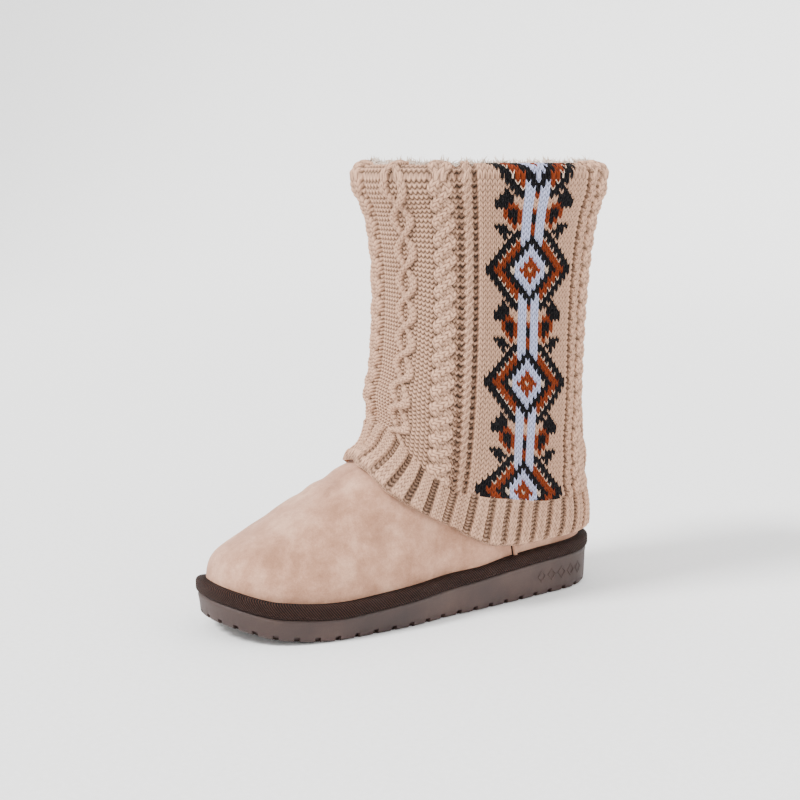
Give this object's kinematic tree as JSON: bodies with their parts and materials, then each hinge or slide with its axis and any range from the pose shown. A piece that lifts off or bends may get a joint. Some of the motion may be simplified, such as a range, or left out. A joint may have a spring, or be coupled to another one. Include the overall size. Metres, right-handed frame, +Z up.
{
  "type": "winter boot",
  "caption": "Left pull-on boot with a rounded suede foot, a wedge sole and a knitted leg folded over the collar, hollow for foot and leg.",
  "frame": {"origin": "on the floor under the middle of the heel tread", "axes": "+Z up, -Y towards the toe, +X towards the outer side of the left foot"},
  "size_m": [0.1286, 0.2736, 0.2733],
  "materials": {
    "outsole": "matte moulded rubber",
    "midsole": "ribbed woven tape round the edge",
    "insole": "fleece",
    "upper": "suede nap",
    "knit_leg": "heavy wool knit"
  },
  "bodies": {
    "root": {"outsole": "outsole", "midsole": "midsole", "insole": "insole", "upper": "upper", "knit_leg": "knit_leg"}
  },
  "joints": []
}
